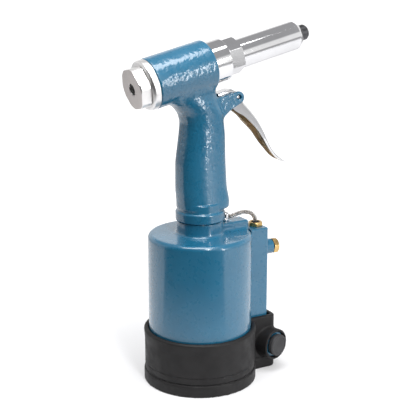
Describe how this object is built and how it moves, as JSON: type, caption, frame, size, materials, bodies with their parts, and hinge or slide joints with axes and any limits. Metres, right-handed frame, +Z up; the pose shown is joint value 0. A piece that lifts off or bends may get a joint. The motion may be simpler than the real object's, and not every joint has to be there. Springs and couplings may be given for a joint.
{
  "type": "pneumatic rivet gun",
  "caption": "Air-hydraulic rivet gun: tilted head with a polished nose tube, pistol handle, lever trigger and an upright air cylinder standing in a rubber boot.",
  "frame": {"origin": "centre of the boot's underside, on the air cylinder's axis", "axes": "+Z up the air cylinder, +X towards the nose, the air inlet looks along -Y turned a little forward"},
  "size_m": [0.1577, 0.09, 0.2815],
  "materials": {
    "blue_paint": "gloss hammered enamel",
    "chrome": "polished",
    "satin_alu": "satin turned",
    "steel": "ground",
    "dark_steel": "blackened",
    "spring_steel": "drawn wire",
    "brass": "machined",
    "rubber": "matte moulded",
    "seal": "smooth",
    "black_plastic": "fine grain",
    "clear_sleeve": "translucent nylon"
  },
  "bodies": {
    "frame": {"handle_frame": "blue_paint", "air_cylinder": "blue_paint", "valve_block": "blue_paint", "head_sleeve": "chrome", "lock_nut": "chrome", "front_tube": "chrome", "cable_ferrule": "chrome", "end_cap_flange": "satin_alu", "safety_cap": "satin_alu", "cylinder_base_plate": "satin_alu", "oil_fill_screw": "steel", "mandrel_tube": "steel", "trigger_pin": "steel", "nose_piece": "dark_steel", "return_spring": "spring_steel", "throttle_spring": "spring_steel", "throttle_cable": "spring_steel", "base_snap_ring": "spring_steel", "ram_gland": "brass", "oil_fill_washer": "brass", "cable_gland_nut": "brass", "exhaust_silencer": "brass", "rubber_boot": "rubber", "cable_boot": "rubber", "base_plate_o_ring": "seal", "ram_seal": "seal", "cable_sleeve": "clear_sleeve"},
    "trigger": {"trigger": "chrome", "cable_anchor": "brass"},
    "throttle": {"throttle_spool": "brass"},
    "ram": {"air_piston": "satin_alu", "air_piston_o_ring": "seal", "ram_rod": "steel", "ram_nut": "steel"},
    "draw": {"oil_piston": "steel", "oil_piston_seal": "seal", "jaw_case": "steel", "jaw_spring": "spring_steel"},
    "jaw_pusher": {"jaw_pusher": "steel"},
    "jaw_1": {"jaw_1": "dark_steel"},
    "jaw_2": {"jaw_2": "dark_steel"},
    "jaw_3": {"jaw_3": "dark_steel"},
    "inlet_plug": {"inlet_plug": "black_plastic"}
  },
  "joints": [
    {"name": "trigger_hinge", "type": "hinge", "parent": "frame", "child": "trigger", "pos_m": [0.0299, 0, 0.2266], "axis": [0, 1, 0], "range_deg": [0, 14], "stiffness_Nm_per_rad": 0.4},
    {"name": "throttle_lift", "type": "slide", "parent": "frame", "child": "throttle", "axis": [0, 0, 1], "range_m": [0, 0.0038], "deforming": ["throttle_spring"]},
    {"name": "ram_stroke", "type": "slide", "parent": "frame", "child": "ram", "axis": [0, 0, 1], "range_m": [0, 0.072]},
    {"name": "draw_stroke", "type": "slide", "parent": "frame", "child": "draw", "axis": [-0.9744, 0, -0.225], "range_m": [0, 0.0161], "stiffness_N_per_m": 1500, "deforming": ["return_spring"]},
    {"name": "jaw_release", "type": "slide", "parent": "draw", "child": "jaw_pusher", "axis": [-0.9744, 0, -0.225], "range_m": [0, 0.0012], "stiffness_N_per_m": 1500, "deforming": ["jaw_spring"]},
    {"name": "jaw_1_slide", "type": "slide", "parent": "draw", "child": "jaw_1", "axis": [-0.8748, 0.3005, -0.38], "range_m": [0, 0.0013]},
    {"name": "jaw_2_slide", "type": "slide", "parent": "draw", "child": "jaw_2", "axis": [-0.9919, 0, 0.1271], "range_m": [0, 0.0013]},
    {"name": "jaw_3_slide", "type": "slide", "parent": "draw", "child": "jaw_3", "axis": [-0.8748, -0.3005, -0.38], "range_m": [0, 0.0013]},
    {"name": "inlet_plug_pull", "type": "slide", "parent": "frame", "child": "inlet_plug", "axis": [0.2588, -0.9659, 0], "range_m": [0, 0.03]}
  ],
  "couplings": [
    {"joint": "throttle_lift", "follows": "trigger_hinge", "m_per_rad": 0.0155},
    {"joint": "draw_stroke", "follows": "ram_stroke", "ratio": 0.2222},
    {"joint": "jaw_1_slide", "follows": "jaw_release", "ratio": 1.0662},
    {"joint": "jaw_2_slide", "follows": "jaw_release", "ratio": 1.0662},
    {"joint": "jaw_3_slide", "follows": "jaw_release", "ratio": 1.0662}
  ]
}
